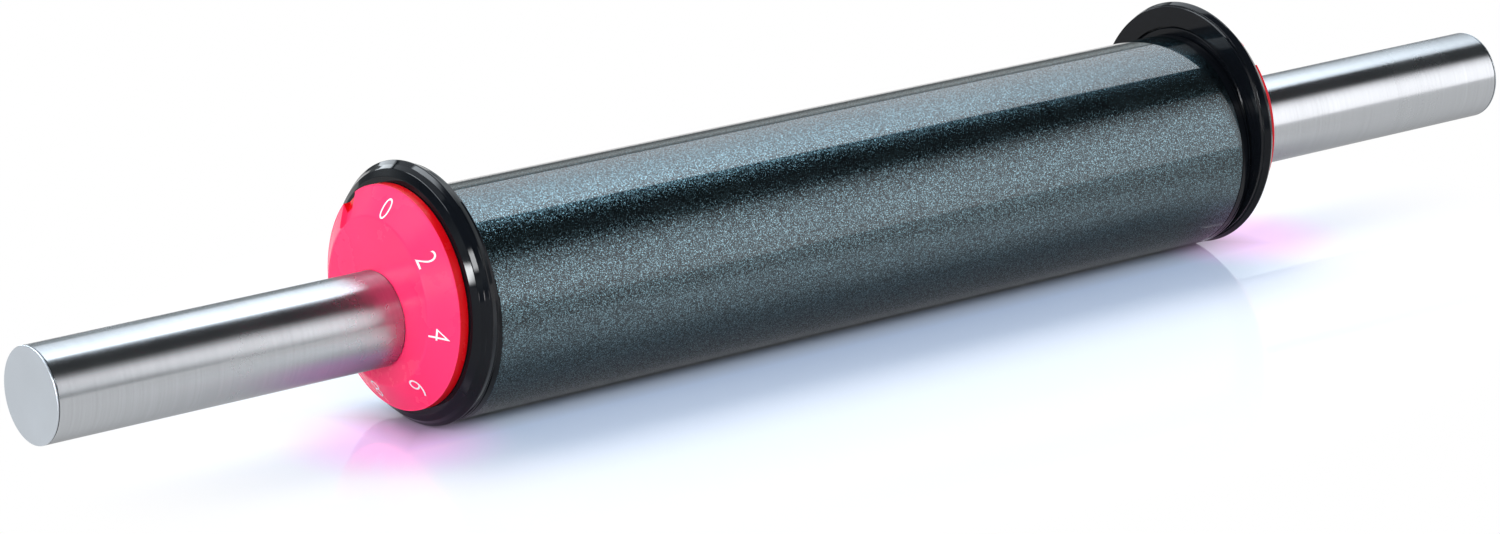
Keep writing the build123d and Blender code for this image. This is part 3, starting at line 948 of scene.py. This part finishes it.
# Floor: the oval beyond which it is white, the fade of its painted fill light (a cool glow of the floor
# itself) off the line of contact, the share of that glow in reflections, and the place, fade and strength of
# the painted pink bounce light that the dials throw on the floor
FLOOR_SIZE = 30
FLOOR_OVAL = (0.68, 1, 1)
WHITE_FLOOR = (0.08, 0.165)
CONTACT_FADE = (0.006, 0.02)
FILL_IN_REFLECTIONS = 0.3
THROW_PLACE = (0.148, -0.009, 0)
THROW_FADE = (0.034, 0.008)
THROW_TINT = 1.75
FAR_THROW_TINT = 2.2

# Backdrop: brightness at the horizon and high up, and the Z of a direction from which to which it changes
HORIZON_LEVEL = 0.25
HORIZON_RISE = (0.1, 0.24)
UPPER_LEVEL = 0.04
UPPER_FALL = (0.26, 0.42)

# Camera: place in metres, turns in degrees and sensor in millimetres
CAMERA_PLACE = (-0.88692, -1.08039, 0.43431)
CAMERA_DOWN = 16.645
CAMERA_HEADING = -38.597
SENSOR_WIDTH = 36


def softbox_finish(name, tint, brightness, fades, shares):
    """Glow that fades towards the panel's sides, low end and high end. The shares are of its brightness at
    the low and at the high end."""
    material = bpy.data.materials.new(name)
    material.use_nodes = True
    tree = material.node_tree
    tree.nodes.remove(tree.nodes["Principled BSDF"])
    glow = add_node(tree, "ShaderNodeEmission")
    glow.inputs["Strength"].default_value = brightness
    parts = split(tree, own_place(tree))
    side_fade, low_fade, high_fade = fades
    level = ranged(tree, parts["Y"], -0.5, 0.5, *shares)
    for axis, edge, fade in (
        ("X", -0.5, side_fade), ("X", 0.5, -side_fade), ("Y", -0.5, low_fade), ("Y", 0.5, -high_fade),
    ):
        level = computed(tree, "MULTIPLY", level, ranged(tree, parts[axis], edge, edge + fade, smooth=True))
    shade = vector_computed(tree, "SCALE", tint, scale=level)[0]
    tree.links.new(shade, glow.inputs["Color"])
    tree.links.new(glow.outputs["Emission"], tree.nodes["Material Output"].inputs["Surface"])
    return material


def facing(place, target):
    """Turn that points a panel or a lamp at its target."""
    return (Vector(target) - Vector(place)).to_track_quat("-Z", "Y")


def add_softbox(name, place, target, size, tint, brightness, fades=(0.02, 0.02, 0.02), shares=(1, 1), roll=0,
                card=False):
    """Glowing panel that faces a target; the camera doesn't see it. The fades are shares of its sides.
    A card shows in glossy surfaces and gives matt ones no light."""
    start_clean()
    bpy.ops.mesh.primitive_plane_add(size=1, location=place)
    panel = name_piece(bpy.context.object, name)
    rolled = Quaternion((0, 0, 1), math.radians(roll))
    panel.rotation_euler = (facing(place, target) @ rolled).to_euler()
    panel.scale = (*size, 1)
    panel.data.materials.append(softbox_finish(name, tint, brightness, fades, shares))
    panel.visible_camera = False
    panel.visible_diffuse = not card
    panel.visible_shadow = False


def add_key_lamp():
    """Broad lamp that lights the floor and the pin without a reflection of its own."""
    start_clean()
    bpy.ops.object.light_add(type="AREA", location=KEY_PLACE)
    lamp = bpy.context.object
    lamp.name = "key_lamp"
    lamp.rotation_euler = facing(KEY_PLACE, KEY_TARGET).to_euler()
    lamp.data.shape = "DISK"
    lamp.data.size = KEY_SIZE
    lamp.data.energy = studio().key
    lamp.data.color = KEY_TINT
    lamp.visible_camera = False
    lamp.visible_glossy = False


def seen_by_eye(tree):
    """Socket that is 1 for camera, glossy and transmission rays."""
    ray = add_node(tree, "ShaderNodeLightPath")
    total = ray.outputs["Is Camera Ray"]
    for label in ("Is Glossy Ray", "Is Transmission Ray"):
        total = computed(tree, "ADD", total, ray.outputs[label], clamp=True)
    return total


def show_blend(tree, factor, first, second, output):
    """Shows the first shader where the factor is 0, and the second where it is 1."""
    blend = add_node(tree, "ShaderNodeMixShader")
    for socket, source in zip(blend.inputs, (factor, first, second)):
        tree.links.new(source, socket)
    tree.links.new(blend.outputs["Shader"], tree.nodes[output].inputs["Surface"])


def floor_finish():
    """Pale glossy floor, white to the eye away from the pin, keeping the shadow near it under a painted cool
    glow and painted pink bounce.
    """
    material, tree, shader = new_finish("Studio floor")
    shader["Roughness"].default_value = 0.035
    shader["IOR"].default_value = 1.7
    link = tree.links.new
    place = own_place(tree)
    across = split(tree, place)["Y"]
    reach = use_group(tree, "Reach")["Reach"]
    seen = seen_by_eye(tree)

    oval = add_node(tree, "ShaderNodeMapping")
    oval.inputs["Scale"].default_value = FLOOR_OVAL
    link(place, oval.inputs["Vector"])
    away = vector_computed(tree, "LENGTH", oval.outputs["Vector"])["Value"]
    far = ranged(tree, away, *WHITE_FLOOR, smooth=True)
    seen_far = computed(tree, "MULTIPLY", far, seen)

    # Painted light: away from the line of contact the floor glows in the shadow colour, a painted cool fill
    # in its shadow
    beyond = computed(tree, "SUBTRACT", reach, RING_CORNERS[0][0] * MM)
    off_contact = computed(tree, "MAXIMUM", computed(tree, "ABSOLUTE", across), beyond)
    painted_fill_light = computed(tree, "MULTIPLY", seen, ranged(tree, off_contact, *CONTACT_FADE))
    ray = add_node(tree, "ShaderNodeLightPath")
    fill = ranged(tree, ray.outputs["Is Camera Ray"], 0.0, 1.0, FILL_IN_REFLECTIONS, 1.0)

    # Painted pink bounce light round each dial: the floor's colour, its glow and its far white turn pink
    either_end = add_node(tree, "ShaderNodeCombineXYZ")
    link(reach, either_end.inputs["X"])
    link(across, either_end.inputs["Y"])
    by_dial = vector_computed(tree, "DISTANCE", either_end.outputs[0], THROW_PLACE)["Value"]
    painted_bounce_share = ranged(tree, by_dial, *THROW_FADE, smooth=True)
    shade_between(tree, shader, painted_bounce_share, colours().floor, tinted(colours().painted_bounce, THROW_TINT))

    glow = add_node(tree, "ShaderNodeEmission")
    link(mixed_colour(tree, painted_bounce_share, colours().shadow, colours().painted_bounce), glow.inputs["Color"])
    link(computed(tree, "MULTIPLY", fill, painted_fill_light), glow.inputs["Strength"])
    floor_with_painted_fill = add_node(tree, "ShaderNodeAddShader")
    link(tree.nodes["Principled BSDF"].outputs["BSDF"], floor_with_painted_fill.inputs[0])
    link(glow.outputs["Emission"], floor_with_painted_fill.inputs[1])
    white = add_node(tree, "ShaderNodeEmission")
    far_painted_bounce = tinted(colours().painted_bounce, FAR_THROW_TINT)
    link(mixed_colour(tree, painted_bounce_share, (1, 1, 1), far_painted_bounce), white.inputs["Color"])
    show_blend(tree, seen_far, floor_with_painted_fill.outputs["Shader"], white.outputs["Emission"], "Material Output")
    return material


def light_the_world():
    """Plain light from all round, and a backdrop that is dim at the horizon, bright a little above it and
    nearly black higher up."""
    world = bpy.data.worlds.new("Studio")
    bpy.context.scene.world = world
    world.use_nodes = True
    tree = world.node_tree
    plain = tree.nodes["Background"]
    plain.inputs["Color"].default_value = (0.93, 0.98, 1.0, 1)
    plain.inputs["Strength"].default_value = studio().ambient
    height = split(tree, add_node(tree, "ShaderNodeTexCoord").outputs["Generated"])["Z"]
    low = ranged(tree, height, *HORIZON_RISE, HORIZON_LEVEL, 1.0)
    backdrop = add_node(tree, "ShaderNodeBackground")
    backdrop.inputs["Color"].default_value = (0.9, 0.98, 1.0, 1)
    tree.links.new(ranged(tree, height, *UPPER_FALL, low, UPPER_LEVEL), backdrop.inputs["Strength"])
    seen = seen_by_eye(tree)
    show_blend(tree, seen, plain.outputs["Background"], backdrop.outputs["Background"], "World Output")


class MakeStudio(bpy.types.Operator):
    """Adds the floor, the softboxes, the key lamp, the backdrop and the camera"""

    bl_idname = "rolling_pin.make_studio"
    bl_label = "Studio"

    def execute(self, context):
        start_clean()
        bpy.ops.mesh.primitive_plane_add(size=FLOOR_SIZE, location=(0, 0, 0))
        floor = name_piece(bpy.context.object, "studio_floor")
        floor.data.materials.append(floor_finish())
        light_the_world()
        for name, setting, share, place, target, size, tint, options in SOFTBOXES:
            add_softbox(name, place, target, size, tint, getattr(studio(), setting) * share, **options)
        add_key_lamp()
        start_clean()
        bpy.ops.object.camera_add(
            location=CAMERA_PLACE,
            rotation=(math.radians(90 - CAMERA_DOWN), 0, math.radians(CAMERA_HEADING)),
        )
        camera = name_piece(bpy.context.object, "Camera")
        camera.data.sensor_fit = "HORIZONTAL"
        camera.data.sensor_width = SENSOR_WIDTH
        camera.data.lens = studio().lens
        context.scene.camera = camera
        context.scene.view_settings.view_transform = "Standard"
        return {"FINISHED"}


class RollingPinPanel(bpy.types.Panel):
    """Lists the rolling pin's settings and pieces"""

    bl_idname = "VIEW3D_PT_rolling_pin"
    bl_label = "Rolling pin"
    bl_space_type = "VIEW_3D"
    bl_region_type = "UI"
    bl_category = "Rolling pin"

    def draw(self, context):
        for group in (settings(), colours(), studio()):
            box = self.layout.box()
            for label in group.__annotations__:
                box.prop(group, label)
        for operator in OPERATORS:
            self.layout.operator(operator.bl_idname)


OPERATORS = (MakeRoller, MakeRings, MakeDials, MakeNumerals, MakeHandles, FinishInnerParts, MakeStudio)
SETTING_GROUPS = {
    "rolling_pin_sizes": RollingPinSizes,
    "rolling_pin_colours": RollingPinColours,
    "rolling_pin_studio": RollingPinStudio,
}


def register():
    for label, group in SETTING_GROUPS.items():
        bpy.utils.register_class(group)
        setattr(bpy.types.Scene, label, bpy.props.PointerProperty(type=group))
    for operator in OPERATORS:
        bpy.utils.register_class(operator)
    bpy.utils.register_class(RollingPinPanel)


def unregister():
    bpy.utils.unregister_class(RollingPinPanel)
    for operator in reversed(OPERATORS):
        bpy.utils.unregister_class(operator)
    for label, group in SETTING_GROUPS.items():
        delattr(bpy.types.Scene, label)
        bpy.utils.unregister_class(group)


def main():
    register()
    bpy.ops.rolling_pin.make_roller()
    bpy.ops.rolling_pin.make_rings()
    bpy.ops.rolling_pin.make_dials()
    bpy.ops.rolling_pin.make_numerals()
    bpy.ops.rolling_pin.make_handles()
    bpy.ops.rolling_pin.finish_inner_parts()
    bpy.ops.rolling_pin.make_studio()


if __name__ == "__main__":
    main()
